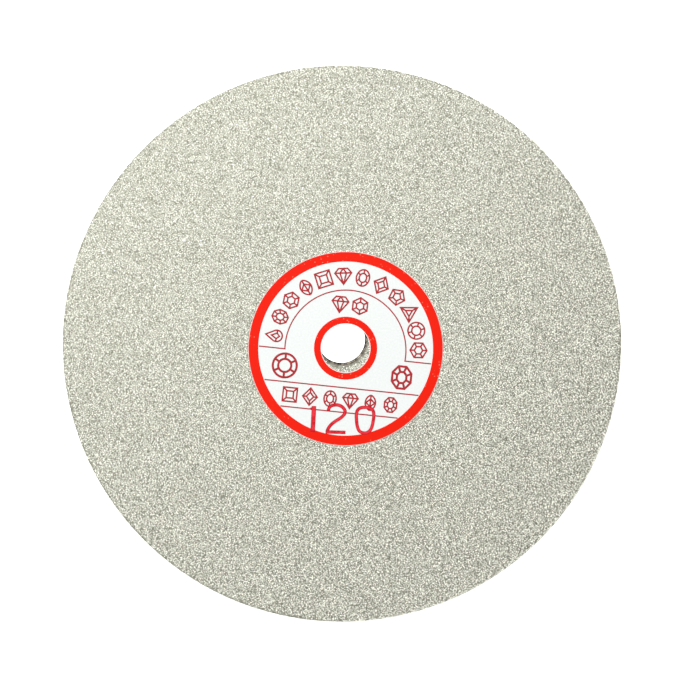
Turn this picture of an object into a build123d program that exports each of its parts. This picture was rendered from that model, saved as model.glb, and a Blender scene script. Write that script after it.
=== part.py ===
from build123d import *
import os
from math import asin, cos, degrees, radians, sin, sqrt

# A flat diamond lap disc, 120 grit, for a gem cutter's machine. It lies on its steel back, grit up.
# +Z is up and the origin is on the centre hole's axis, at the back face. All sizes are in millimetres.

# Driving dimensions of the disc
DISC_DIAMETER = 150.0        # over the grit
BORE_DIAMETER = 12.7         # half-inch spindle
CORE_THICKNESS = 1.2
BORE_ROUND = 0.5             # the hole's front edge, rounded before plating
BACK_EDGE_CHAMFER = 0.15
RIM_ROUND = 0.4

# The coats, each lying on the one before
STRIKE_THICKNESS = 0.02
BOND_THICKNESS = 0.08
GRIT_THICKNESS = 0.05
BOND_MARGIN = 0.35           # bare strike between the rounded hole edge and the bond

# The label, stuck on by hand a little off the hole and turned a little
LABEL_DIAMETER = 52.2
LABEL_HOLE_DIAMETER = 13.0
LABEL_OFFSET = (1.17, -2.5)
LABEL_TURN = -6.0            # degrees, clockwise seen from above
ADHESIVE_THICKNESS = 0.03
PAPER_THICKNESS = 0.10
INK_THICKNESS = 0.015

# The label's print, in the label's own plane
OUTER_MARGIN = 0.1           # bare paper outside the border ring
INNER_MARGIN = 0.18          # bare paper inside the small ring
BORDER_WIDTH = 2.6
BORE_RING_WIDTH = 1.78
RULE_WIDTH = 0.34
RULE_ARC_RADIUS = 16.2
RULE_ARC_Y = -0.55           # the arc's centre, a little below the label's
UPPER_RULE_Y = -1.84
MIDDLE_RULE_Y = -10.6
LOWER_RULE_Y = -17.2
ARC_MARK_RADIUS = 19.5
ARC_MARK_STEP = 15.6         # degrees
ARC_MARK_SIZE = 4.9
PAIR_SPACING = 5.35
PAIR_Y = 11.65
LARGE_MARK_X = 15.7
LARGE_MARK_Y = -6.3
LARGE_MARK_SIZE = 7.0
ROW_Y = -13.9
ROW_SPACING = 5.4
ROW_SIZE = 4.55
MARK_STROKE = 0.42
LARGE_MARK_STROKE = 0.6

# The grit number, stamped by hand across the print
STAMP_ORIGIN = (-7.25, -25.3)
DIGIT_HEIGHT = 7.3
STAMP_STROKE = 0.9
FIRST_DIGIT_STROKE = 1.2     # the stamp was pressed hardest at its left
STAMP_THICKNESS = 0.03

BORE_RADIUS = BORE_DIAMETER / 2
COATS_THICKNESS = STRIKE_THICKNESS + BOND_THICKNESS + GRIT_THICKNESS
CORE_RADIUS = DISC_DIAMETER / 2 - COATS_THICKNESS
STRIKE_START = BORE_RADIUS + BORE_ROUND
BOND_START = STRIKE_START + BOND_MARGIN
LABEL_BASE = CORE_THICKNESS + COATS_THICKNESS
PAPER_BASE = LABEL_BASE + ADHESIVE_THICKNESS
PRINT_BASE = PAPER_BASE + PAPER_THICKNESS
LABEL_RADIUS = LABEL_DIAMETER / 2
LABEL_HOLE_RADIUS = LABEL_HOLE_DIAMETER / 2
BORDER_RADIUS = LABEL_RADIUS - OUTER_MARGIN
FIELD_RADIUS = BORDER_RADIUS - BORDER_WIDTH
BORE_RING_RADIUS = LABEL_HOLE_RADIUS + INNER_MARGIN


def label_plane(height):
    """The label's plane at a height, centred on the label and turned with it."""
    return Plane(
        origin=(*LABEL_OFFSET, height),
        x_dir=(cos(radians(LABEL_TURN)), sin(radians(LABEL_TURN)), 0),
        z_dir=(0, 0, 1),
    )


def coat(start_radius, inner, outer):
    """A plated coat from inner to outer above the core's face, round the rim edge and down the rim."""
    with BuildPart() as layer:
        with BuildSketch(Plane.XZ):
            with BuildLine():
                face_edge = CORE_RADIUS - RIM_ROUND
                rim_top = CORE_THICKNESS - RIM_ROUND
                Line((start_radius, CORE_THICKNESS + outer), (face_edge, CORE_THICKNESS + outer))
                CenterArc((face_edge, rim_top), RIM_ROUND + outer, 0, 90)
                Polyline(
                    (CORE_RADIUS + outer, rim_top),
                    (CORE_RADIUS + outer, BACK_EDGE_CHAMFER),
                    (CORE_RADIUS + inner, BACK_EDGE_CHAMFER),
                    (CORE_RADIUS + inner, rim_top),
                )
                CenterArc((face_edge, rim_top), RIM_ROUND + inner, 0, 90)
                Polyline(
                    (face_edge, CORE_THICKNESS + inner),
                    (start_radius, CORE_THICKNESS + inner),
                    (start_radius, CORE_THICKNESS + outer),
                )
            make_face()
        revolve(axis=Axis.Z)
    return layer.part


def flat_ring(height, thickness, outer_radius, inner_radius):
    """A flat ring in the label's plane."""
    with BuildPart() as ring:
        with BuildSketch(label_plane(height)):
            Circle(outer_radius)
            Circle(inner_radius, mode=Mode.SUBTRACT)
        extrude(amount=thickness)
    return ring.part


# ---- gem outlines: plain drawings of cut stones, which decorate the label

def girdle_points(sides, width, height, first_angle):
    """The corners of a regular outline, stretched to a width and a height."""
    angles = [radians(first_angle + 360 * i / sides) for i in range(sides)]
    return [(width / 2 * cos(a), height / 2 * sin(a)) for a in angles]


def faceted_gem(size, stroke, sides, first_angle, aspect=1.0, table=0.5):
    """A stone seen face up: its outline, its table, and the facet edges that join their corners."""
    reach = size - stroke
    outline = girdle_points(sides, reach * aspect, reach, first_angle)
    inner = [(x * table, y * table) for x, y in outline]
    with BuildSketch() as gem:
        for corners in (outline, inner):
            with BuildLine() as closed:
                Polyline(*corners, close=True)
            trace(closed.line, stroke)
        for corner, table_corner in zip(outline, inner):
            with BuildLine() as facet_edge:
                Line(corner, table_corner)
            trace(facet_edge.line, stroke)
    return gem.sketch


def oval_gem(size, stroke, aspect=0.8, spokes=6):
    """A round or oval stone: two ellipses and the facet edges between them."""
    half_height = size / 2
    half_width = half_height * aspect
    with BuildSketch() as gem:
        Ellipse(half_width, half_height)
        Ellipse(half_width - stroke, half_height - stroke, mode=Mode.SUBTRACT)
        Ellipse(half_width / 2 + stroke / 2, half_height / 2 + stroke / 2)
        Ellipse(half_width / 2 - stroke / 2, half_height / 2 - stroke / 2, mode=Mode.SUBTRACT)
        rim = girdle_points(spokes, 2 * half_width - stroke, 2 * half_height - stroke, 90)
        for x, y in rim:
            with BuildLine() as facet_edge:
                Line((x, y), (x / 2, y / 2))
            trace(facet_edge.line, stroke)
    return gem.sketch


def marquise_gem(size, stroke):
    """A pointed boat-shaped stone: two arcs, the keel line and its cross facets."""
    half = (size - stroke) / 2
    belly = half * 0.66
    with BuildSketch() as gem:
        for side in (-1, 1):
            with BuildLine() as bow:
                ThreePointArc((0, -half), (side * belly, 0), (0, half))
            trace(bow.line, stroke)
            with BuildLine() as cross_facets:
                Polyline((0, -half / 2), (side * (belly - stroke / 2), 0), (0, half / 2))
            trace(cross_facets.line, stroke)
        with BuildLine() as keel:
            Line((0, -half), (0, half))
        trace(keel.line, stroke)
    return gem.sketch


def pear_gem(size, stroke):
    """A drop-shaped stone: a round foot, two sides up to a point, and a small kite for its table."""
    foot = (size - stroke) * 0.34
    tip = (size - stroke) / 2
    foot_y = foot - tip
    lean = asin(foot / (tip - foot_y))
    touch = (foot * cos(lean), foot_y + foot * sin(lean))
    with BuildSketch() as gem:
        with BuildLine() as drop:
            Line(touch, (0, tip))
            Line((0, tip), (-touch[0], touch[1]))
            CenterArc((0, foot_y), foot, 180 - degrees(lean), 180 + 2 * degrees(lean))
        trace(drop.line, stroke)
        table = [(0, tip * 0.3), (-foot / 2, foot_y), (0, foot_y - foot / 2), (foot / 2, foot_y)]
        with BuildLine() as kite:
            Polyline(*table, close=True)
        trace(kite.line, stroke)
        for side in (-1, 1):
            with BuildLine() as facet_edge:
                Line((side * foot / 2, foot_y), (side * foot, foot_y))
            trace(facet_edge.line, stroke)
    return gem.sketch


def profile_gem(size, stroke):
    """A brilliant seen from the side: the table, the girdle line, the crown and the pavilion."""
    half = (size - stroke) / 2
    girdle_y = half * 0.35
    table_x = half * 0.55
    with BuildSketch() as gem:
        with BuildLine() as outline:
            Polyline(
                (-table_x, half * 0.9), (table_x, half * 0.9), (half, girdle_y),
                (0, -half), (-half, girdle_y), close=True,
            )
        trace(outline.line, stroke)
        with BuildLine() as girdle:
            Line((-half, girdle_y), (half, girdle_y))
        trace(girdle.line, stroke)
        for side in (-1, 1):
            with BuildLine() as facet_edges:
                Polyline((0, half * 0.9), (side * table_x * 0.7, girdle_y), (0, -half))
            trace(facet_edges.line, stroke)
    return gem.sketch


def gem_set(size, stroke):
    """Every gem outline at one size, by name."""
    return {
        "brilliant": oval_gem(size, stroke, aspect=1.0),
        "oval": oval_gem(size, stroke),
        "marquise": marquise_gem(size, stroke),
        "pear": pear_gem(size, stroke),
        "profile": profile_gem(size, stroke),
        "hexagon": faceted_gem(size, stroke, 6, 90),
        "step": faceted_gem(size, stroke, 8, 22.5, aspect=0.85),
        "kite": faceted_gem(size * 1.1, stroke, 4, 90, aspect=0.85),
        "square": faceted_gem(size * 1.25, stroke, 4, 45),
        "trillion": faceted_gem(size * 1.15, stroke, 3, 90, table=0.4),
        "pentagon": faceted_gem(size, stroke, 5, 90),
    }


# ---- the disc

with BuildPart() as steel_core:
    Cylinder(CORE_RADIUS, CORE_THICKNESS, align=(Align.CENTER, Align.CENTER, Align.MIN))
    Hole(BORE_RADIUS)
    fillet(steel_core.faces().sort_by(Axis.Z)[-1].edges().sort_by(SortBy.RADIUS)[0], BORE_ROUND)
    fillet(steel_core.faces().sort_by(Axis.Z)[-1].edges().sort_by(SortBy.RADIUS)[-1], RIM_ROUND)
    chamfer(steel_core.faces().sort_by(Axis.Z)[0].edges(), BACK_EDGE_CHAMFER)

bond_top = STRIKE_THICKNESS + BOND_THICKNESS
grit_top = bond_top + GRIT_THICKNESS
nickel_strike = coat(STRIKE_START, 0, STRIKE_THICKNESS)
nickel_bond = coat(BOND_START, STRIKE_THICKNESS, bond_top)
diamond_grit = coat(BOND_START, bond_top, grit_top)

# ---- the label

label_adhesive = flat_ring(LABEL_BASE, ADHESIVE_THICKNESS, LABEL_RADIUS, LABEL_HOLE_RADIUS)
label_paper = flat_ring(PAPER_BASE, PAPER_THICKNESS, LABEL_RADIUS, LABEL_HOLE_RADIUS)
label_border_ring = flat_ring(PRINT_BASE, INK_THICKNESS, BORDER_RADIUS, FIELD_RADIUS)
label_bore_ring = flat_ring(
    PRINT_BASE, INK_THICKNESS, BORE_RING_RADIUS + BORE_RING_WIDTH, BORE_RING_RADIUS
)


def half_chord(y):
    """Half the width of the white field at a height y, a little short of the border ring."""
    return sqrt(FIELD_RADIUS**2 - y**2) - RULE_WIDTH / 2


with BuildPart() as label_arc_rule:
    with BuildSketch(label_plane(PRINT_BASE)):
        arc_drop = degrees(asin((RULE_ARC_Y - UPPER_RULE_Y) / RULE_ARC_RADIUS))
        stub_start = RULE_ARC_RADIUS * cos(radians(arc_drop))
        stub_end = half_chord(UPPER_RULE_Y)
        for side in (-1, 1):
            with BuildLine() as arc_and_stub:
                CenterArc((0, RULE_ARC_Y), RULE_ARC_RADIUS, 90, side * (90 + arc_drop))
                Line((-side * stub_start, UPPER_RULE_Y), (-side * stub_end, UPPER_RULE_Y))
            trace(arc_and_stub.line, RULE_WIDTH)
    extrude(amount=INK_THICKNESS)

with BuildPart() as label_straight_rules:
    with BuildSketch(label_plane(PRINT_BASE)):
        for rule_y in (MIDDLE_RULE_Y, LOWER_RULE_Y):
            with BuildLine() as rule:
                Line((-half_chord(rule_y), rule_y), (half_chord(rule_y), rule_y))
            trace(rule.line, RULE_WIDTH)
    extrude(amount=INK_THICKNESS)

ARC_CUTS = (
    "pear", "step", "hexagon", "marquise", "square", "profile",
    "oval", "kite", "pentagon", "trillion", "brilliant", "hexagon",
)
ROW_CUTS = ("square", "kite", "oval", "profile", "marquise", "step")

small_gems = gem_set(ARC_MARK_SIZE, MARK_STROKE)
large_gems = gem_set(LARGE_MARK_SIZE, LARGE_MARK_STROKE)
row_gems = gem_set(ROW_SIZE, MARK_STROKE)


def printed_marks(placed_gems):
    """Gem outlines printed on the label. Each comes with its centre and its turn in degrees."""
    with BuildPart() as marks:
        with BuildSketch(label_plane(PRINT_BASE)):
            for gem, x, y, turn in placed_gems:
                with Locations(Location((x, y, 0), (0, 0, turn))):
                    add(gem)
        extrude(amount=INK_THICKNESS)
    return marks.part


def arc_place(place):
    """The x, y and turn of one of the marks that stand round the arc, counted from the left."""
    turn = ARC_MARK_STEP * ((len(ARC_CUTS) - 1) / 2 - place)
    return -ARC_MARK_RADIUS * sin(radians(turn)), ARC_MARK_RADIUS * cos(radians(turn)), turn


label_arc_marks = printed_marks(
    [(small_gems[cut], *arc_place(place)) for place, cut in enumerate(ARC_CUTS)]
)
label_pair_marks = printed_marks([
    (small_gems["profile"], -PAIR_SPACING / 2, PAIR_Y, 0),
    (small_gems["hexagon"], PAIR_SPACING / 2, PAIR_Y, 0),
])
label_large_marks = printed_marks([
    (large_gems["brilliant"], -LARGE_MARK_X, LARGE_MARK_Y, 0),
    (large_gems["step"], LARGE_MARK_X, LARGE_MARK_Y, 0),
])
row_start = -(len(ROW_CUTS) - 1) / 2 * ROW_SPACING
label_row_marks = printed_marks(
    [(row_gems[cut], row_start + place * ROW_SPACING, ROW_Y, 0) for place, cut in enumerate(ROW_CUTS)]
)

with BuildPart() as grit_number:
    with BuildSketch(Plane((*STAMP_ORIGIN, PRINT_BASE))):
        with BuildLine() as one:
            Line((-0.35, 0.4), (0, DIGIT_HEIGHT))
        trace(one.line, FIRST_DIGIT_STROKE)
        with BuildLine() as flag:
            Line((-0.1, DIGIT_HEIGHT - 0.35), (-1.0, DIGIT_HEIGHT - 0.85))
        trace(flag.line, FIRST_DIGIT_STROKE / 2)
        with BuildLine() as two:
            Spline(
                (3.85, 6.1), (4.4, 7.2), (5.85, 7.6), (7.6, 7.0), (8.3, 5.7),
                (7.5, 4.45), (5.5, 3.1), (4.05, 1.7), (3.5, 0.5),
            )
            Line((3.1, 0.42), (8.4, 0.25))
        trace(two.line, STAMP_STROKE)
        with BuildLine() as zero:
            # narrower at its foot, as the stamp was rocked
            Bezier((13.6, 6.95), (15.9, 6.95), (16.2, 5.8), (15.8, 3.4))
            Bezier((15.8, 3.4), (15.5, 1.3), (14.9, 0.1), (13.5, 0.1))
            Bezier((13.5, 0.1), (11.9, 0.1), (11.5, 1.3), (11.35, 3.4))
            Bezier((11.35, 3.4), (11.15, 5.8), (11.4, 6.95), (13.6, 6.95))
        trace(zero.line, STAMP_STROKE)
    extrude(amount=STAMP_THICKNESS)
    for printed in (label_straight_rules.part, label_row_marks, label_border_ring):
        add(printed, mode=Mode.SUBTRACT)

PIECES = {
    "steel_core": steel_core.part,
    "nickel_strike": nickel_strike,
    "nickel_bond": nickel_bond,
    "diamond_grit": diamond_grit,
    "label_adhesive": label_adhesive,
    "label_paper": label_paper,
    "label_border_ring": label_border_ring,
    "label_bore_ring": label_bore_ring,
    "label_arc_rule": label_arc_rule.part,
    "label_straight_rules": label_straight_rules.part,
    "label_arc_marks": label_arc_marks,
    "label_pair_marks": label_pair_marks,
    "label_large_marks": label_large_marks,
    "label_row_marks": label_row_marks,
    "grit_number": grit_number.part,
}

os.makedirs("parts", exist_ok=True)
for name, piece in PIECES.items():
    piece.label = name
    export_step(piece, f"parts/{name}.step")
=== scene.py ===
"""The looks of a flat diamond lap disc, 120 grit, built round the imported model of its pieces.

The real disc is a steel blank with a half-inch hole. Its face and rim are plated with nickel, which holds
one layer of diamond grains, and a round printed paper label is stuck over the hole, a little off its centre.
"""

from __future__ import annotations

import logging
import math
from dataclasses import dataclass, field
from enum import Enum

import bmesh
import bpy
import numpy as np
from mathutils import Matrix, Vector

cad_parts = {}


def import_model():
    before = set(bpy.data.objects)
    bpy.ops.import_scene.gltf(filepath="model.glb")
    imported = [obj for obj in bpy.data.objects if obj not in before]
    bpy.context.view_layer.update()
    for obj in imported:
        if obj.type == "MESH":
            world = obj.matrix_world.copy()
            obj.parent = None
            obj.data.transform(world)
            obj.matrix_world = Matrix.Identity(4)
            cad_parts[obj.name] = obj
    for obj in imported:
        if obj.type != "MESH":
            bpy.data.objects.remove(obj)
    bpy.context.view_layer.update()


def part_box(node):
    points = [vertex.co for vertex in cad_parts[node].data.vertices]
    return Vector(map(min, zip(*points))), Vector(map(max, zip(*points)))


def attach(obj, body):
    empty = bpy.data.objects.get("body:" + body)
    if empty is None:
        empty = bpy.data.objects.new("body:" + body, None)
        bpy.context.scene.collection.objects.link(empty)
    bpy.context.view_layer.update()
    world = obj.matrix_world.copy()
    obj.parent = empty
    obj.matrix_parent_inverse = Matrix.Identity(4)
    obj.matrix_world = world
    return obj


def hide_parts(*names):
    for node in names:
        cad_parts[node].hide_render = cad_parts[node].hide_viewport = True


MM = 0.001
BODY = "root"
log = logging.getLogger("lap_disc")

Colour = tuple[float, float, float, float]


# ---- helpers for colours, nodes and frame sizes


def linear(hex_colour: str, alpha: float = 1.0) -> Colour:
    """Turns an sRGB hex colour to a linear one.

    Args:
        hex_colour: six hex digits, such as "F0F0E0".
        alpha: the fourth channel.

    Returns:
        Red, green, blue and alpha, linear.
    """
    channels = [int(hex_colour[i : i + 2], 16) / 255 for i in (0, 2, 4)]
    bent = [c / 12.92 if c <= 0.04045 else ((c + 0.055) / 1.055) ** 2.4 for c in channels]
    return (bent[0], bent[1], bent[2], alpha)


def add_node(
    tree: bpy.types.NodeTree,
    kind: str,
    inputs: dict[str | int, object] | None = None,
    **settings: object,
) -> bpy.types.Node:
    """Adds one node with its settings, its values and its links.

    Args:
        tree: the node tree that gets the node.
        kind: the node's type, without its "ShaderNode".
        inputs: by socket name or number: an output socket is linked, and anything else is set.
        settings: the node's own properties.

    Returns:
        The new node.
    """
    node = tree.nodes.new("ShaderNode" + kind)
    for name, value in settings.items():
        setattr(node, name, value)
    for socket, value in (inputs or {}).items():
        if isinstance(value, bpy.types.NodeSocket):
            tree.links.new(value, node.inputs[socket])
        else:
            node.inputs[socket].default_value = value
    return node


def set_ramp(node: bpy.types.Node, stops: list[tuple[float, str]]) -> None:
    """Gives a Color Ramp node its stops.

    Args:
        node: the Color Ramp node.
        stops: each stop's place from 0 to 1 and its sRGB hex colour.
    """
    elements = node.color_ramp.elements
    while len(elements) < len(stops):
        elements.new(1.0)
    for element, (place, hex_colour) in zip(elements, stops):
        element.position = place
        element.color = linear(hex_colour)


def points_of(node: str) -> np.ndarray:
    """Reads a CAD node's vertices.

    Args:
        node: the node's name.

    Returns:
        Rows of x, y and z, in metres.
    """
    vertices = bpy.data.objects[node].data.vertices
    flat = np.empty(len(vertices) * 3, np.float32)
    vertices.foreach_get("co", flat)
    return flat.reshape(-1, 3).astype(float)


@dataclass(frozen=True)
class RingSize:
    """A round CAD node's place and radii, in metres, read from its mesh."""

    centre: Vector
    inner: float
    outer: float
    low: float
    high: float

    @classmethod
    def of(cls, node: str) -> RingSize:
        """Measures a CAD node.

        Args:
            node: the node's name.

        Returns:
            Its centre, inner and outer radius, and lowest and highest z.
        """
        low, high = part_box(node)
        centre = (low + high) / 2
        places = points_of(node)
        reach = np.hypot(places[:, 0] - centre.x, places[:, 1] - centre.y)
        return cls(centre, float(reach.min()), float(reach.max()), low.z, high.z)


# ---- finishes


@dataclass(frozen=True)
class Finish:
    """A surface finish. A subclass draws its nodes."""

    name: str

    def draw(self, tree: bpy.types.NodeTree, shader: bpy.types.Node) -> None:
        """Sets the Principled shader and links its patterns.

        Args:
            tree: the material's node tree.
            shader: its Principled shader.
        """
        raise NotImplementedError

    def material(self) -> bpy.types.Material:
        """Makes the finish's material.

        Returns:
            The material, with a Principled shader and its patterns.
        """
        made = bpy.data.materials.new(self.name)
        made.use_nodes = True
        tree = made.node_tree
        self.draw(tree, tree.nodes["Principled BSDF"])
        return made


@dataclass(frozen=True)
class GroundSteel(Finish):
    """Cold-rolled steel blank, ground on a turning table.

    The back shows the grinder's fine rings under dull blotches, and the rounded edge of the hole is painted
    dark: a mottled band of painted shade.
    """

    edge_radius: float  # where the painted shade ends
    edge_fade: float = 0.3 * MM
    ring_pitch: float = 0.35 * MM  # coarser than a grinder's real marks, so that they show
    ring_depth: float = 0.02 * MM
    blotch_size: float = 16.7 * MM
    edge_shade_mottle_size: float = 1.11 * MM

    def draw(self, tree: bpy.types.NodeTree, shader: bpy.types.Node) -> None:
        """Sets the shader: steel colour with faint rings, blotches and painted shade at the hole edge.

        Args:
            tree: the material's node tree.
            shader: its Principled shader.
        """
        place = add_node(tree, "TexCoord").outputs["Object"]
        flat = add_node(tree, "VectorMath", {0: place, 1: (1.0, 1.0, 0.0)}, operation="MULTIPLY")
        reach = add_node(tree, "VectorMath", {0: flat.outputs["Vector"]}, operation="LENGTH")
        radius = reach.outputs["Value"]
        rings = add_node(
            tree,
            "TexNoise",
            {"W": radius, "Scale": 1 / self.ring_pitch, "Detail": 3.0, "Roughness": 0.7},
            noise_dimensions="1D",
        )
        blotches = add_node(
            tree, "TexNoise", {"Vector": place, "Scale": 1 / self.blotch_size, "Detail": 5.0}
        )
        steel = add_node(tree, "ValToRGB", {"Fac": rings.outputs["Fac"]})
        set_ramp(steel, [(0.3, "8C8D8C"), (0.7, "B9BAB8")])
        stained = add_node(
            tree,
            "Mix",
            {"Factor": blotches.outputs["Fac"], "A": steel.outputs["Color"], "B": linear("9A9890")},
            data_type="RGBA",
        )
        at_edge = add_node(
            tree,
            "MapRange",
            {"Value": radius, "From Min": self.edge_radius, "From Max": self.edge_radius - self.edge_fade},
        )
        # painted shade: a dark, mottled band along the hole's rounded edge, mixed in by at_edge
        edge_shade_mottle = add_node(tree, "TexNoise", {"Vector": place, "Scale": 1 / self.edge_shade_mottle_size, "Detail": 4.0})
        dark = add_node(tree, "ValToRGB", {"Fac": edge_shade_mottle.outputs["Fac"]})
        set_ramp(dark, [(0.42, "262420"), (0.6, "6C685B")])
        colour = add_node(
            tree,
            "Mix",
            {"Factor": at_edge.outputs["Result"], "A": stained.outputs["Result"], "B": dark.outputs["Color"]},
            data_type="RGBA",
        )
        tree.links.new(colour.outputs["Result"], shader.inputs["Base Color"])
        shader.inputs["Metallic"].default_value = 1.0
        rough = add_node(
            tree, "MapRange", {"Value": blotches.outputs["Fac"], "To Min": 0.32, "To Max": 0.5}
        )
        tree.links.new(rough.outputs["Result"], shader.inputs["Roughness"])
        bump = add_node(
            tree, "Bump", {"Height": rings.outputs["Fac"], "Strength": 0.25, "Distance": self.ring_depth}
        )
        tree.links.new(bump.outputs["Normal"], shader.inputs["Normal"])


@dataclass(frozen=True)
class PlatedNickel(Finish):
    """Matt electroplated nickel, grown round the grains: a dull, slightly olive grey with a pebbled skin."""

    dark: str = "79796C"
    light: str = "A1A194"
    pebble: float = 0.12 * MM  # about the size of a real grain
    roughness: float = 0.6
    pebble_depth: float = 0.04 * MM
    cloud_size: float = 1.11 * MM

    def draw(self, tree: bpy.types.NodeTree, shader: bpy.types.Node) -> None:
        """Sets the shader: metal with a cloudy colour and a pebbled bump.

        Args:
            tree: the material's node tree.
            shader: its Principled shader.
        """
        place = add_node(tree, "TexCoord").outputs["Object"]
        cells = add_node(tree, "TexVoronoi", {"Vector": place, "Scale": 1 / self.pebble})
        cloud = add_node(tree, "TexNoise", {"Vector": place, "Scale": 1 / self.cloud_size, "Detail": 4.0})
        colour = add_node(tree, "ValToRGB", {"Fac": cloud.outputs["Fac"]})
        set_ramp(colour, [(0.35, self.dark), (0.65, self.light)])
        tree.links.new(colour.outputs["Color"], shader.inputs["Base Color"])
        shader.inputs["Metallic"].default_value = 1.0
        shader.inputs["Roughness"].default_value = self.roughness
        bump = add_node(
            tree,
            "Bump",
            {"Height": cells.outputs["Distance"], "Strength": 0.6, "Distance": self.pebble_depth},
        )
        tree.links.new(bump.outputs["Normal"], shader.inputs["Normal"])


@dataclass(frozen=True)
class SyntheticDiamond(Finish):
    """Synthetic diamond, 120 mesh: cream to yellowish grey crystals with bright faces, one tone to a grain,
    partly painted light and shade.

    Diamond's own IOR is 2.42. It is set lower because the plating dulls the faces.
    """

    tone: str = "grain_tone_and_shade"
    cloud_size: float = 0.2 * MM
    cloudiness: float = 0.25

    def draw(self, tree: bpy.types.NodeTree, shader: bpy.types.Node) -> None:
        """Sets the shader: each grain's tone, partly its own and partly painted light and shade, with a
        little cloudiness inside it.

        Args:
            tree: the material's node tree.
            shader: its Principled shader.
        """
        tone = add_node(tree, "Attribute", attribute_name=self.tone).outputs["Fac"]
        place = add_node(tree, "TexCoord").outputs["Object"]
        cloud = add_node(tree, "TexNoise", {"Vector": place, "Scale": 1 / self.cloud_size, "Detail": 2.0})
        shifted = add_node(
            tree,
            "Math",
            {0: cloud.outputs["Fac"], 1: self.cloudiness, 2: tone},
            operation="MULTIPLY_ADD",
        )
        colour = add_node(tree, "ValToRGB", {"Fac": shifted.outputs["Value"]})
        set_ramp(colour, [(0.25, "C0C0B0"), (0.45, "F8F8E9"), (0.65, "FFFFF2"), (1.0, "FFFFF4")])
        tree.links.new(colour.outputs["Color"], shader.inputs["Base Color"])
        shader.inputs["Roughness"].default_value = 0.5
        shader.inputs["IOR"].default_value = 2.0


@dataclass(frozen=True)
class CoatedPaper(Finish):
    """White coated label paper: near white, with the grains beneath it showing as a faint lumpiness."""

    lump_pitch: float = 0.5 * MM
    lump_height: float = 0.03 * MM

    def draw(self, tree: bpy.types.NodeTree, shader: bpy.types.Node) -> None:
        """Sets the shader: white with the faintest mottling, and lumps as bump.

        Args:
            tree: the material's node tree.
            shader: its Principled shader.
        """
        place = add_node(tree, "TexCoord").outputs["Object"]
        lumps = add_node(tree, "TexNoise", {"Vector": place, "Scale": 1 / self.lump_pitch, "Detail": 2.0})
        colour = add_node(tree, "ValToRGB", {"Fac": lumps.outputs["Fac"]})
        set_ramp(colour, [(0.3, "DCE0DE"), (0.7, "E4E7E5")])
        tree.links.new(colour.outputs["Color"], shader.inputs["Base Color"])
        shader.inputs["Roughness"].default_value = 0.55
        shader.inputs["Specular IOR Level"].default_value = 0.25
        bump = add_node(
            tree, "Bump", {"Height": lumps.outputs["Fac"], "Strength": 0.25, "Distance": self.lump_height}
        )
        tree.links.new(bump.outputs["Normal"], shader.inputs["Normal"])


@dataclass(frozen=True)
class PrintedInk(Finish):
    """Offset printing ink on coated paper: flat colour, and small worn specks where grain tips press it up.

    The specks are round and sparse: they show only where the ink was laid thin.
    """

    body: str
    worn: str
    speck_pitch: float = 0.9 * MM
    speck_radius: float = 0.24  # in pitches, as the core is
    speck_core: float = 0.08
    thin_patch_size: float = 3.33 * MM
    thin_range: tuple[float, float] = (0.49, 0.62)  # the noise where specks begin to show, and show fully
    patch_height: float = 0.03 * MM

    def draw(self, tree: bpy.types.NodeTree, shader: bpy.types.Node) -> None:
        """Sets the shader: the ink's colour, mixed to its worn tone in sparse round specks.

        Args:
            tree: the material's node tree.
            shader: its Principled shader.
        """
        place = add_node(tree, "TexCoord").outputs["Object"]
        specks = add_node(tree, "TexVoronoi", {"Vector": place, "Scale": 1 / self.speck_pitch})
        worn = add_node(
            tree,
            "MapRange",
            {
                "Value": specks.outputs["Distance"],
                "From Min": self.speck_radius,
                "From Max": self.speck_core,
                "To Max": 0.9,
            },
        )
        density = add_node(
            tree, "TexNoise", {"Vector": place, "Scale": 1 / self.thin_patch_size, "Detail": 3.0}
        )
        thin = add_node(
            tree,
            "MapRange",
            {
                "Value": density.outputs["Fac"],
                "From Min": self.thin_range[0],
                "From Max": self.thin_range[1],
                "To Max": 1.0,
            },
        )
        amount = add_node(
            tree, "Math", {0: worn.outputs["Result"], 1: thin.outputs["Result"]}, operation="MULTIPLY"
        )
        colour = add_node(
            tree,
            "Mix",
            {"Factor": amount.outputs["Value"], "A": linear(self.body), "B": linear(self.worn)},
            data_type="RGBA",
        )
        tree.links.new(colour.outputs["Result"], shader.inputs["Base Color"])
        shader.inputs["Roughness"].default_value = 0.5
        shader.inputs["Specular IOR Level"].default_value = 0.05
        bump = add_node(
            tree, "Bump", {"Height": density.outputs["Fac"], "Strength": 0.2, "Distance": self.patch_height}
        )
        tree.links.new(bump.outputs["Normal"], shader.inputs["Normal"])


@dataclass(frozen=True)
class StampInk(Finish):
    """Water-based stamp ink: a thin, uneven crimson film, squeezed out darker along the strokes' edges."""

    body: str = "C21220"
    pale: str = "E0323E"
    edge: str = "94081A"
    edge_share: str = "squeeze_out"
    film_patch_size: float = 0.91 * MM

    def draw(self, tree: bpy.types.NodeTree, shader: bpy.types.Node) -> None:
        """Sets the shader: a blotchy film, mixed to the edge's colour where the mesh says so.

        Args:
            tree: the material's node tree.
            shader: its Principled shader.
        """
        place = add_node(tree, "TexCoord").outputs["Object"]
        film = add_node(
            tree,
            "TexNoise",
            {"Vector": place, "Scale": 1 / self.film_patch_size, "Detail": 4.0, "Roughness": 0.6},
        )
        colour = add_node(tree, "ValToRGB", {"Fac": film.outputs["Fac"]})
        set_ramp(colour, [(0.4, self.pale), (0.6, self.body)])
        edge = add_node(tree, "Attribute", attribute_name=self.edge_share).outputs["Fac"]
        dried = add_node(
            tree,
            "Mix",
            {"Factor": edge, "A": colour.outputs["Color"], "B": linear(self.edge)},
            data_type="RGBA",
        )
        tree.links.new(dried.outputs["Result"], shader.inputs["Base Color"])
        shader.inputs["Roughness"].default_value = 0.45
        shader.inputs["Specular IOR Level"].default_value = 0.1


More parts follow.
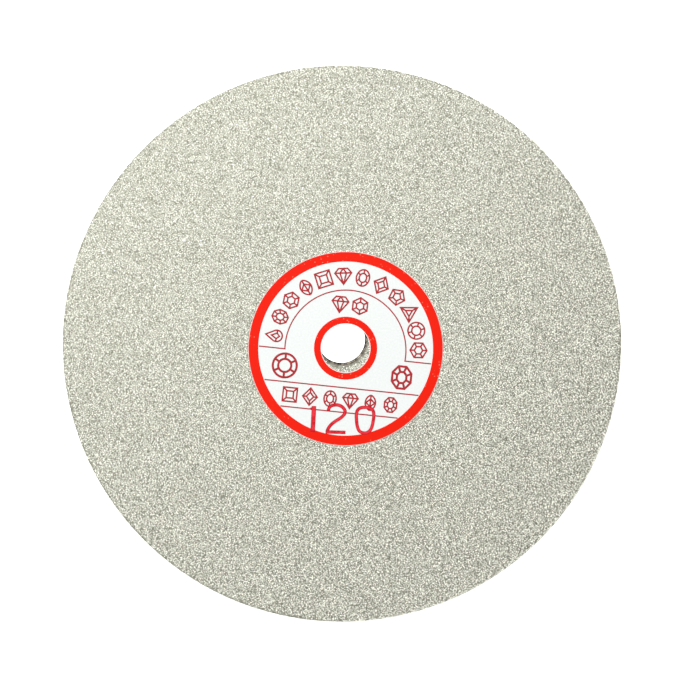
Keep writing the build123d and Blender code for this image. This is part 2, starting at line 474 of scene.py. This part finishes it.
@dataclass(frozen=True)
class GlueFilm(Finish):
    """Pressure-sensitive glue at the paper's cut edge: pale, a little yellow and grey with dust."""

    dust_size: float = 0.4 * MM

    def draw(self, tree: bpy.types.NodeTree, shader: bpy.types.Node) -> None:
        """Sets the shader: a pale glue with dusty patches.

        Args:
            tree: the material's node tree.
            shader: its Principled shader.
        """
        place = add_node(tree, "TexCoord").outputs["Object"]
        dust = add_node(tree, "TexNoise", {"Vector": place, "Scale": 1 / self.dust_size, "Detail": 3.0})
        colour = add_node(tree, "ValToRGB", {"Fac": dust.outputs["Fac"]})
        set_ramp(colour, [(0.35, "C9C4AE"), (0.65, "EFEBDA")])
        tree.links.new(colour.outputs["Color"], shader.inputs["Base Color"])
        shader.inputs["Roughness"].default_value = 0.6


@dataclass(frozen=True)
class StudioPaper(Finish):
    """A white paper sweep, lit to a clean white."""

    glow: float = 1.0

    def draw(self, tree: bpy.types.NodeTree, shader: bpy.types.Node) -> None:
        """Sets the shader: matt white that gives a little light of its own, as a light table does.

        Args:
            tree: the material's node tree.
            shader: its Principled shader.
        """
        shader.inputs["Base Color"].default_value = linear("F7F7F5")
        shader.inputs["Roughness"].default_value = 0.9
        shader.inputs["Emission Color"].default_value = linear("FFFFFF")
        shader.inputs["Emission Strength"].default_value = self.glow


def dress(nodes: list[str], finish: Finish) -> None:
    """Gives CAD nodes one finish.

    Args:
        nodes: the nodes' names.
        finish: the finish that all their slots get.
    """
    material = finish.material()
    for node in nodes:
        for slot in bpy.data.objects[node].material_slots:
            slot.material = material
    log.info("dressed %s in %s", ", ".join(nodes), finish.name)


# ---- the disc


@dataclass
class SteelBlank:
    """The steel disc that carries everything, a CAD piece."""

    node: str = "steel_core"

    def build(self) -> None:
        """Dresses the blank, with painted shade from the hole out to where the nickel bond starts."""
        dress([self.node], GroundSteel("ground_steel", RingSize.of("nickel_bond").inner))


@dataclass
class Plating:
    """The two nickel coats, CAD pieces: the strike shows only as a thin line at the hole."""

    strike: str = "nickel_strike"
    bond: str = "nickel_bond"

    def build(self) -> None:
        """Dresses the coats."""
        bare_strike = PlatedNickel(
            "nickel_strike", dark="45403B", light="6E6860", pebble=0.2 * MM, roughness=0.4
        )
        dress([self.strike], bare_strike)
        dress([self.bond], PlatedNickel("matt_nickel"))


class CrystalHabit(Enum):
    """The shapes that blocky diamond grains come in."""

    OCTAHEDRON = "octahedron"
    CUBE = "cube"
    CHIP = "chip"


@dataclass
class GrainTemplate:
    """One crystal, about its own centre, of unit radius, as plain arrays for scattering."""

    habit: CrystalHabit
    seed: int
    cube_side: float = 1.15
    chipping: float = 0.22
    corners: np.ndarray = field(init=False)
    facets: np.ndarray = field(init=False)

    def __post_init__(self) -> None:
        """Models the crystal: a regular solid whose corners are chipped a little out of true."""
        crystal = bmesh.new()
        if self.habit is CrystalHabit.CUBE:
            bmesh.ops.create_cube(crystal, size=self.cube_side)
            bmesh.ops.triangulate(crystal, faces=crystal.faces)
        else:
            sides = 4 if self.habit is CrystalHabit.OCTAHEDRON else 3
            bmesh.ops.create_uvsphere(crystal, u_segments=sides, v_segments=2, radius=1.0)
        chips = np.random.default_rng(self.seed)
        for corner in crystal.verts:
            corner.co += Vector(chips.uniform(-self.chipping, self.chipping, 3))
        bmesh.ops.recalc_face_normals(crystal, faces=crystal.faces)
        crystal.verts.index_update()
        self.corners = np.array([corner.co for corner in crystal.verts])
        self.facets = np.array([[corner.index for corner in face.verts] for face in crystal.faces])
        crystal.free()


@dataclass
class GritLayer:
    """The single layer of diamond grains over the face, the rounded rim edge and the rim.

    Real 120 grit is 0.125 mm across, about a million grains. They are drawn about 0.4 mm across, which is as
    fine as a view of the whole disc can show, and lie about two thirds sunk in the nickel. A share of the
    places is left empty, where grains have broken out and the darker nickel shows.
    """

    node: str = "diamond_grit"
    bed: str = "nickel_bond"
    pitch: float = 0.39 * MM
    radius: float = 0.24 * MM
    flatness: float = 0.7  # each grain's height is multiplied by this
    sink: float = 0.06 * MM  # how far a grain's centre lies under the top of the nickel
    rim_sink: float = 0.16 * MM
    shade_alternation: float = 1.0  # how strongly a grain's tone avoids its neighbours', as painted light and shade
    size_spread: float = 0.2
    missing: float = 0.17
    sectors: int = 9
    shake: float = 0.25  # in pitches, as the next three are
    rim_row_spacing: float = 0.9
    rim_shake_round: float = 0.4
    rim_shake_down: float = 0.3
    kinds: tuple[CrystalHabit, ...] = (
        *(CrystalHabit.OCTAHEDRON,) * 10,
        *(CrystalHabit.CHIP,) * 11,
        *(CrystalHabit.CUBE,) * 3,
    )
    seed: int = 120
    rim_round: float = 0.5 * MM  # the radius of the nickel round the rim edge
    edge_wander: float = 0.6 * MM  # the width over which the grains thin out at the hole

    def lit_and_shaded_tones(self, noise: np.ndarray) -> np.ndarray:
        """Turns random numbers on a grid to evenly spread tones that differ from their neighbours'.

        The tones are partly painted light and shade: a lit facet mostly stands beside a shaded one, so
        neighbours are drawn lighter and darker in turn and the grains never blur together in patches.

        Args:
            noise: random numbers, one for each place of the grid.

        Returns:
            The tones, from 0 to 1, in the grid's shape.
        """
        # painted light and shade: each grain's tone is pushed away from its neighbours' average
        around = sum(np.roll(noise, step, axis) for axis in (0, 1) for step in (-1, 1)) / 4
        order = np.argsort(np.argsort((noise - self.shade_alternation * around).ravel()))
        return (order / (order.size - 1)).reshape(noise.shape)

    def grains_on_face(self, rng: np.random.Generator) -> np.ndarray:
        """Lays the grains out on the flat face: close packed, each shaken off its place.

        Args:
            rng: the layer's random numbers.

        Returns:
            Rows of x, y, z and tone for the grains.
        """
        bed = RingSize.of(self.bed)
        label = RingSize.of("label_paper")
        reach = bed.outer
        rows = np.arange(-reach, reach, self.pitch * math.sqrt(3) / 2)
        columns = np.arange(-reach, reach, self.pitch)
        x, y = np.meshgrid(columns, rows)
        x[1::2] += self.pitch / 2
        tones = self.lit_and_shaded_tones(rng.random(x.shape)).ravel()
        places = np.stack([x.ravel(), y.ravel()], axis=1)
        places += rng.uniform(-self.shake, self.shake, places.shape) * self.pitch
        distance = np.hypot(places[:, 0], places[:, 1])
        wander = self.edge_wander * rng.uniform(0, 1, len(distance))
        on_face = (distance > bed.inner + self.radius / 2 + wander) & (distance < reach - self.rim_round)
        from_label = np.hypot(places[:, 0] - label.centre.x, places[:, 1] - label.centre.y)
        under_label = (from_label < label.outer - self.radius / 2) & (from_label > label.inner + self.pitch)
        kept = on_face & ~under_label & (tones > self.missing)
        height = np.full(kept.sum(), bed.high - self.sink)
        return np.column_stack([places[kept], height, tones[kept]])

    def grains_on_rim(self, rng: np.random.Generator) -> np.ndarray:
        """Lays the grains out round the rounded edge and down the rim.

        Args:
            rng: the layer's random numbers.

        Returns:
            Rows of x, y, z and tone for the grains.
        """
        bed = RingSize.of(self.bed)
        bend = math.pi / 2 * self.rim_round
        wall = bed.high - self.rim_round - bed.low
        along = np.arange(self.pitch / 2, bend + wall - self.pitch / 3, self.pitch * self.rim_row_spacing)
        count = int(2 * math.pi * bed.outer / self.pitch)
        angle, run = np.meshgrid(np.arange(count) * 2 * math.pi / count, along)
        tones = self.lit_and_shaded_tones(rng.random(angle.shape)).ravel()
        round_rim, down_rim = self.rim_shake_round, self.rim_shake_down
        angle = (angle + rng.uniform(-round_rim, round_rim, angle.shape) * self.pitch / bed.outer).ravel()
        run = (run + rng.uniform(-down_rim, down_rim, run.shape) * self.pitch).ravel()
        turn = np.clip(run / self.rim_round, 0, math.pi / 2)
        drop = np.clip(run - bend, 0, wall - self.radius)
        sink = self.sink + (self.rim_sink - self.sink) * np.sin(turn)
        reach = bed.outer - self.rim_round + (self.rim_round - sink) * np.sin(turn)
        height = bed.high - self.rim_round + (self.rim_round - sink) * np.cos(turn) - drop
        return np.column_stack([reach * np.cos(angle), reach * np.sin(angle), height, tones])

    def random_turns(self, rng: np.random.Generator, count: int) -> np.ndarray:
        """Makes random rotations, from random unit quaternions.

        Args:
            rng: the layer's random numbers.
            count: how many.

        Returns:
            A stack of 3 by 3 matrices.
        """
        w, x, y, z = rng.normal(size=(4, count))
        size = np.sqrt(w * w + x * x + y * y + z * z)
        w, x, y, z = w / size, x / size, y / size, z / size
        rows = [
            [1 - 2 * (y * y + z * z), 2 * (x * y - z * w), 2 * (x * z + y * w)],
            [2 * (x * y + z * w), 1 - 2 * (x * x + z * z), 2 * (y * z - x * w)],
            [2 * (x * z - y * w), 2 * (y * z + x * w), 1 - 2 * (x * x + y * y)],
        ]
        return np.array(rows).transpose(2, 0, 1)

    def scatter(self, name: str, grains: np.ndarray, rng: np.random.Generator) -> bpy.types.Object:
        """Makes one piece of the layer: a crystal at each place.

        The copies are laid out as arrays, because a mesh operator for each of them would take far too long.

        Args:
            name: the piece's name.
            grains: rows of x, y, z and tone.
            rng: the layer's random numbers.

        Returns:
            The piece.
        """
        kinds = [GrainTemplate(habit, self.seed + i) for i, habit in enumerate(self.kinds)]
        places, tones = grains[:, :3], grains[:, 3]
        chosen = rng.integers(0, len(kinds), len(places))
        sizes = self.radius * rng.uniform(1 - self.size_spread, 1 + self.size_spread, len(places))
        turns = self.random_turns(rng, len(places))
        corners, facets, shades, start = [], [], [], 0
        for number, kind in enumerate(kinds):
            mine = np.flatnonzero(chosen == number)
            turned = np.einsum("nij,kj->nki", turns[mine], kind.corners)
            turned[:, :, 2] *= self.flatness
            placed = turned * sizes[mine, None, None] + places[mine, None, :]
            per_grain = len(kind.corners)
            offsets = start + np.arange(len(mine)) * per_grain
            corners.append(placed.reshape(-1, 3))
            facets.append((kind.facets[None] + offsets[:, None, None]).reshape(-1, 3))
            shades.append(np.repeat(tones[mine], len(kind.facets)))
            start += len(mine) * per_grain
        return self.mesh_piece(name, *(np.concatenate(part) for part in (corners, facets, shades)))

    def mesh_piece(
        self, name: str, corners: np.ndarray, facets: np.ndarray, shades: np.ndarray
    ) -> bpy.types.Object:
        """Makes the scattered crystals one flat-shaded mesh.

        Args:
            name: the piece's name.
            corners: the vertices.
            facets: the triangles, as vertex numbers.
            shades: one tone for each triangle.

        Returns:
            The piece, linked to the scene.
        """
        mesh = bpy.data.meshes.new(name)
        mesh.vertices.add(len(corners))
        mesh.vertices.foreach_set("co", corners.astype(np.float32).ravel())
        mesh.loops.add(len(facets) * 3)
        mesh.loops.foreach_set("vertex_index", facets.astype(np.int32).ravel())
        mesh.polygons.add(len(facets))
        mesh.polygons.foreach_set("loop_start", np.arange(0, len(facets) * 3, 3, dtype=np.int32))
        tone = mesh.attributes.new(SyntheticDiamond.tone, "FLOAT", "FACE")
        tone.data.foreach_set("value", shades.astype(np.float32))
        mesh.update(calc_edges=True)
        mesh.shade_flat()
        piece = bpy.data.objects.new(name, mesh)
        bpy.context.scene.collection.objects.link(piece)
        return piece

    def build(self) -> None:
        """Scatters the layer in sectors, each its own piece, and dresses it."""
        rng = np.random.default_rng(self.seed)
        grains = np.concatenate([self.grains_on_face(rng), self.grains_on_rim(rng)])
        angle = np.arctan2(grains[:, 1], grains[:, 0]) % (2 * math.pi)
        sector = (angle / (2 * math.pi) * self.sectors).astype(int)
        material = SyntheticDiamond("synthetic_diamond").material()
        for number in range(self.sectors):
            piece = self.scatter(f"grit_sector_{number + 1}", grains[sector == number], rng)
            piece.data.materials.append(material)
            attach(piece, BODY)
            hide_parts(self.node)
            log.info("%s: %d triangles", piece.name, len(piece.data.polygons))


# ---- the label


@dataclass
class PaperLabel:
    """The round label and its glue, CAD pieces."""

    paper: str = "label_paper"
    glue: str = "label_adhesive"

    def build(self) -> None:
        """Dresses the paper and the glue."""
        dress([self.paper], CoatedPaper("coated_label_paper"))
        dress([self.glue], GlueFilm("label_glue"))


@dataclass
class LabelPrint:
    """The printed rings, rules and gem outlines, CAD pieces."""

    rings: tuple[str, ...] = ("label_border_ring", "label_bore_ring")
    lines: tuple[str, ...] = (
        "label_arc_rule",
        "label_straight_rules",
        "label_arc_marks",
        "label_pair_marks",
        "label_large_marks",
        "label_row_marks",
    )

    def build(self) -> None:
        """Dresses the rings in bright ink and the lines in dark ink."""
        dress(list(self.rings), PrintedInk("ring_ink", body="E31D08", worn="F29076"))
        dress(list(self.lines), PrintedInk("line_ink", body="A33034", worn="B85A58"))


@dataclass
class GritNumber:
    """The grit number, stamped by hand: the CAD strokes with the ink's squeezed-out edge drawn in."""

    node: str = "grit_number"
    edge_width: float = 0.24 * MM
    weld_distance: float = 0.001 * MM

    def build(self) -> None:
        """Copies the strokes, insets their tops to part the edge from the middle, and dresses them."""
        strokes = bmesh.new()
        strokes.from_mesh(bpy.data.objects[self.node].data)
        bmesh.ops.remove_doubles(strokes, verts=strokes.verts, dist=self.weld_distance)
        crown_height = max(corner.co.z for corner in strokes.verts) - self.weld_distance
        crowns = [face for face in strokes.faces if min(corner.co.z for corner in face.verts) > crown_height]
        bmesh.ops.inset_region(
            strokes, faces=crowns, thickness=self.edge_width, use_even_offset=True, use_boundary=True
        )
        middle = set(crowns)
        share = strokes.verts.layers.float.new(StampInk.edge_share)
        for corner in strokes.verts:
            corner[share] = 0.0 if any(face in middle for face in corner.link_faces) else 1.0
        bmesh.ops.recalc_face_normals(strokes, faces=strokes.faces)
        mesh = bpy.data.meshes.new("stamped_number")
        strokes.to_mesh(mesh)
        strokes.free()
        mesh.materials.append(StampInk("stamp_ink").material())
        number = bpy.data.objects.new("stamped_number", mesh)
        bpy.context.scene.collection.objects.link(number)
        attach(number, BODY)
        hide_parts(self.node)
        log.info("%s: %d faces", number.name, len(mesh.polygons))


# ---- the studio


@dataclass
class Studio:
    """A white sweep, a soft sky and a broad soft light, and the camera that looks down on the disc."""

    focal_length: float = 82.45  # millimetres, as the sensor's width is
    sensor_width: float = 36.0
    distance: float = 429.3 * MM
    lean: float = 5.81  # degrees off the disc's axis
    bearing: float = -79.0  # degrees from +X, the side that the camera leans to
    aim: tuple[float, float] = (2.35 * MM, -3.0 * MM)
    floor_size: float = 3.0
    floor_gap: float = 0.02 * MM
    sky: float = 0.33
    horizon: float = 1.05
    sky_fade: tuple[float, float] = (0.12, 0.4)  # the sine of the height where the fade starts and ends
    key_power: float = 14.4  # watts
    key_size: float = 0.5
    key_place: tuple[float, float, float] = (-0.3, 0.48, 1.05)

    def camera(self) -> None:
        """Places the camera above the disc, leaning a little to its near side."""
        lens = bpy.data.cameras.new("camera")
        lens.lens = self.focal_length
        lens.sensor_width = self.sensor_width
        lens.clip_start = 0.01
        view = bpy.data.objects.new("camera", lens)
        bearing, lean = math.radians(self.bearing), math.radians(self.lean)
        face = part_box("label_paper")[1].z
        side = math.sin(lean) * self.distance
        place = Vector(
            (side * math.cos(bearing), side * math.sin(bearing), face + math.cos(lean) * self.distance)
        )
        outward = (place - Vector((*self.aim, face))).normalized()
        right = Vector((0.0, 1.0, 0.0)).cross(outward).normalized()
        up = outward.cross(right)
        view.matrix_world = Matrix((right, up, outward)).transposed().to_4x4()
        view.location = place
        bpy.context.scene.collection.objects.link(view)
        bpy.context.scene.camera = view

    def floor(self) -> None:
        """Lays the white sweep under the disc."""
        sheet = bmesh.new()
        bmesh.ops.create_grid(sheet, x_segments=1, y_segments=1, size=self.floor_size / 2)
        bmesh.ops.translate(sheet, verts=sheet.verts, vec=(0.0, 0.0, -self.floor_gap))
        mesh = bpy.data.meshes.new("studio_floor")
        sheet.to_mesh(mesh)
        sheet.free()
        mesh.materials.append(StudioPaper("studio_paper").material())
        floor = bpy.data.objects.new("studio_floor", mesh)
        bpy.context.scene.collection.objects.link(floor)

    def lights(self) -> None:
        """Sets a soft sky, white at the horizon as the sweep is, and the broad light at the upper left."""
        world = bpy.data.worlds.new("soft_sky")
        world.use_nodes = True
        tree = world.node_tree
        direction = add_node(tree, "TexCoord").outputs["Generated"]
        rise = add_node(tree, "SeparateXYZ", {"Vector": direction}).outputs["Z"]
        strength = add_node(
            tree,
            "MapRange",
            {
                "Value": rise,
                "From Min": self.sky_fade[0],
                "From Max": self.sky_fade[1],
                "To Min": self.horizon,
                "To Max": self.sky,
            },
            interpolation_type="SMOOTHSTEP",
        )
        background = tree.nodes["Background"]
        background.inputs["Color"].default_value = linear("FFFFFF")
        tree.links.new(strength.outputs["Result"], background.inputs["Strength"])
        bpy.context.scene.world = world
        lamp = bpy.data.lights.new("key_softbox", "AREA")
        lamp.shape = "DISK"
        lamp.size = self.key_size
        lamp.energy = self.key_power
        key = bpy.data.objects.new("key_softbox", lamp)
        key.location = self.key_place
        key.rotation_euler = (-key.location).to_track_quat("-Z", "Y").to_euler()
        bpy.context.scene.collection.objects.link(key)

    def build(self) -> None:
        """Sets up the whole studio."""
        self.camera()
        self.floor()
        self.lights()
        bpy.context.scene.view_settings.view_transform = "Standard"


def main() -> None:
    """Loads the frame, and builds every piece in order."""
    logging.basicConfig(level=logging.INFO, format="%(name)s: %(message)s")
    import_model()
    for part in (SteelBlank(), Plating(), GritLayer(), PaperLabel(), LabelPrint(), GritNumber(), Studio()):
        part.build()
        log.info("built %s", type(part).__name__)


if __name__ == "__main__":
    main()
